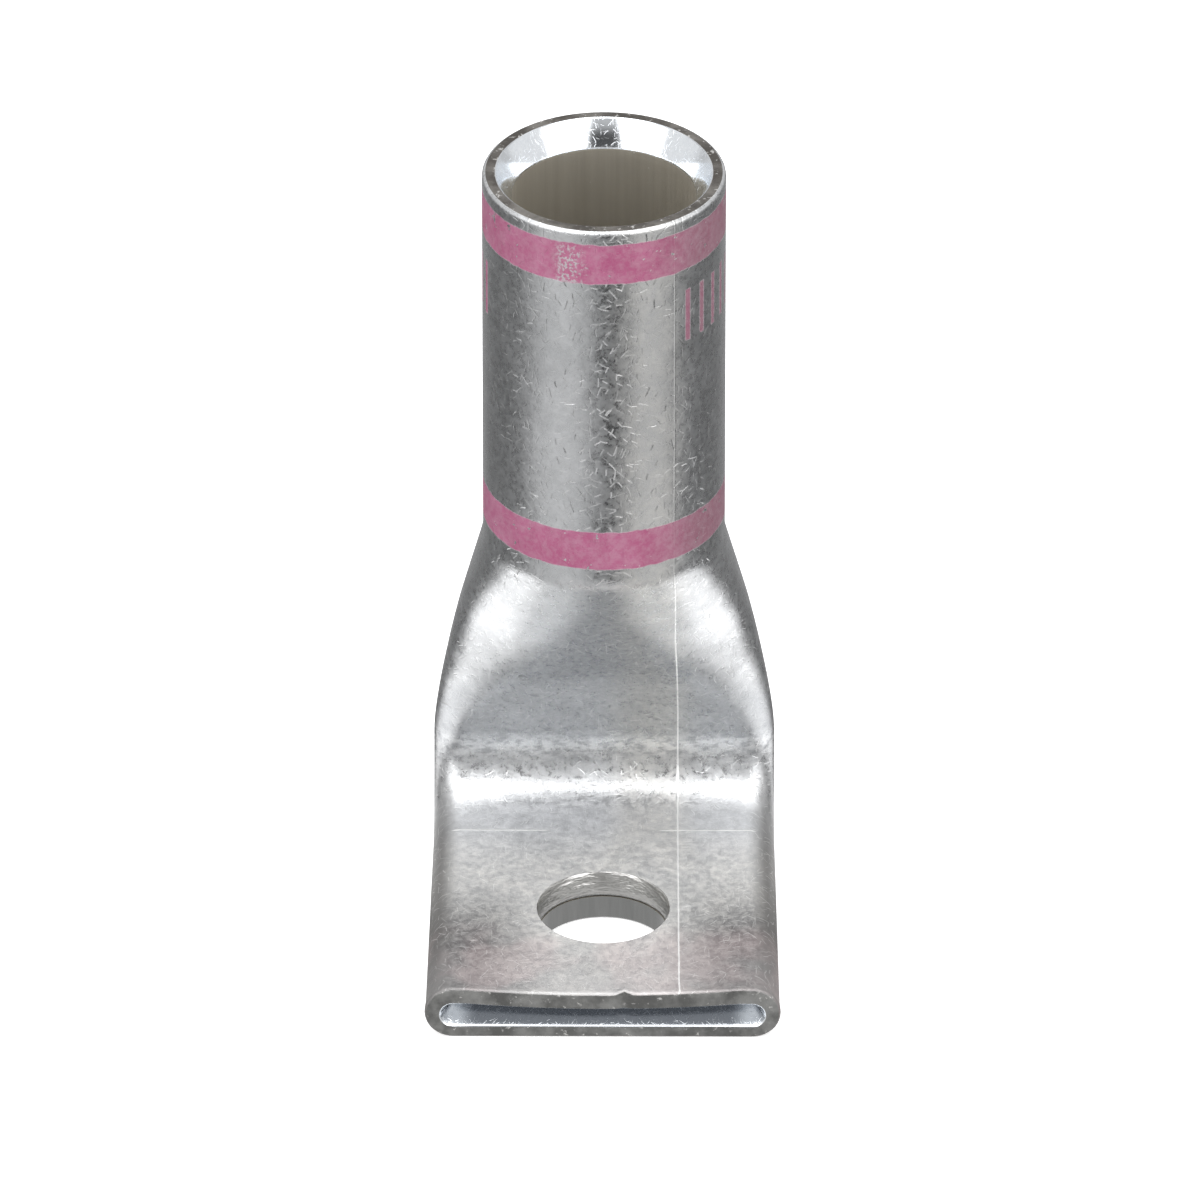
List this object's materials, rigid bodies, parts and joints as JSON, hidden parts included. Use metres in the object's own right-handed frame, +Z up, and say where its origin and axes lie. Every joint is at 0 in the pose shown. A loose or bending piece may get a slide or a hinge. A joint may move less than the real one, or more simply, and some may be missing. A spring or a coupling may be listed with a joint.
{
  "type": "right-angle copper cable lug",
  "caption": "Tin-plated copper cable lug, one piece of tube: round barrel and a tongue bent at 90 degrees with one stud hole.",
  "frame": {"origin": "centre of the stud hole on the underside of the tongue", "axes": "+Z up the barrel, out of its mouth; -Y out of the tongue's open tip; +X across the tongue"},
  "size_m": [0.0198, 0.0242, 0.0456],
  "materials": {
    "tin_plate": "tumbled tin plate, satin, with two bands of rose ink round the barrel"
  },
  "bodies": {
    "root": {"lug_body": "tin_plate"}
  },
  "joints": []
}
